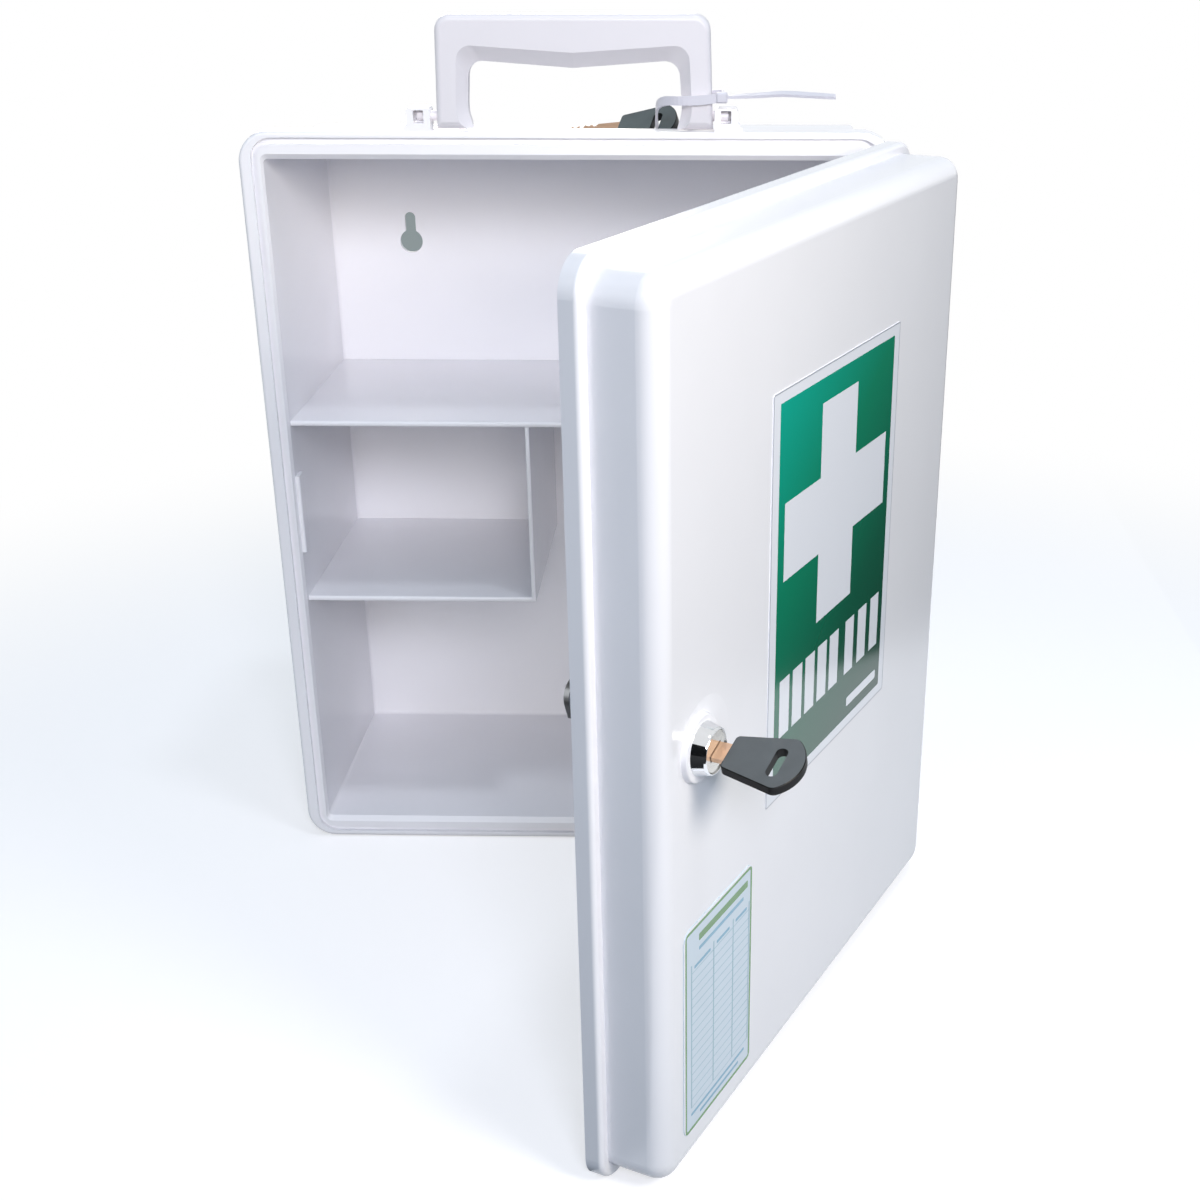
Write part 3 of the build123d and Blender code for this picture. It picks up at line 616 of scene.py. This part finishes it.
footer = roundedBox(*sign["footerBar"], sign["footerCorner"])
printPiece("sign_white_print", whiteInk, ink, plates=[crossOutline, footer], height=ink)
wide, tall = sign["blockSize"]
for rowName, (blocks, first, step) in sign["blockRows"].items():
    grown(rowName, lineTree, {
        "Lines": blocks,
        "First": [first * mm, (stickerFace - ink * 1.5) * mm, sign["blockMiddle"] * mm],
        "Step": [step * mm, 0.0, 0.0],
        "Size": [wide * mm, ink * mm, tall * mm],
        "Ink": whiteInk}, doorTurn)
print("sign printed")

# Print on the record label, in the same millimetres
label = {
    "plate": (-116.5, -61.1, 17.2, 103.8),
    "plateCorner": 5.0,
    "outline": (-115.6, -62.0, 18.1, 102.9),
    "outlineWidth": 1.2,
    "outlineCorner": 2.2,
    "titleBar": (-105.0, -65.6, 95.4, 98.2),
    "titleCorner": 0.5,
    "blueBars": (
        (-105.0, -69.0, 91.6, 93.0), (-108.6, -96.0, 86.0, 87.2), (-91.0, -80.6, 86.0, 87.2),
        (-75.6, -66.2, 86.0, 87.2), (-111.0, -67.0, 24.4, 25.6), (-104.0, -72.0, 21.4, 22.6),
    ),
    "barCorner": 0.4,
    "tableTop": 85.0,
    "tableLow": 28.0,
    "rows": 16,
    "rowWidth": 0.28,
    "columns": (-110.8, -93.4, -77.6, -64.2),
    "columnTop": 88.5,
    "columnWidth": 0.7,
    "columnHeight": 0.02,  # so that the columns' face stands clear of the row lines' face
    "inkHeight": 0.05,
}
ink = label["inkHeight"]
corner = label["outlineCorner"]
outer = roundedBox(*label["outline"], corner)
inner = roundedBox(*inset(label["outline"], label["outlineWidth"]), corner - label["outlineWidth"])
title = roundedBox(*label["titleBar"], label["titleCorner"])
printPiece("label_outline_print", outlineInk, ink, rings=[(outer, inner)], plates=[title])
plate = roundedBox(*label["plate"], label["plateCorner"])
printPiece("label_clear_margin", clearMargin, ink, rings=[(plate, outer)])
bars = [roundedBox(*bar, label["barCorner"]) for bar in label["blueBars"]]
printPiece("label_blue_bars", blueInk, ink, plates=bars)
left, right = label["columns"][0], label["columns"][-1]
grown("label_row_lines", lineTree, {
    "Lines": label["rows"] + 1,
    "First": [(left + right) / 2 * mm, (stickerFace - ink / 2) * mm, label["tableLow"] * mm],
    "Step": [0.0, 0.0, (label["tableTop"] - label["tableLow"]) / label["rows"] * mm],
    "Size": [(right - left) * mm, ink * mm, label["rowWidth"] * mm],
    "Ink": tableInk}, doorTurn)
half = label["columnWidth"] / 2
columns = [[(x + half, label["columnTop"]), (x - half, label["columnTop"]),
            (x - half, label["tableLow"]), (x + half, label["tableLow"])] for x in label["columns"]]
printPiece("label_column_lines", tableInk, ink, plates=columns, height=label["columnHeight"])
print("label printed")
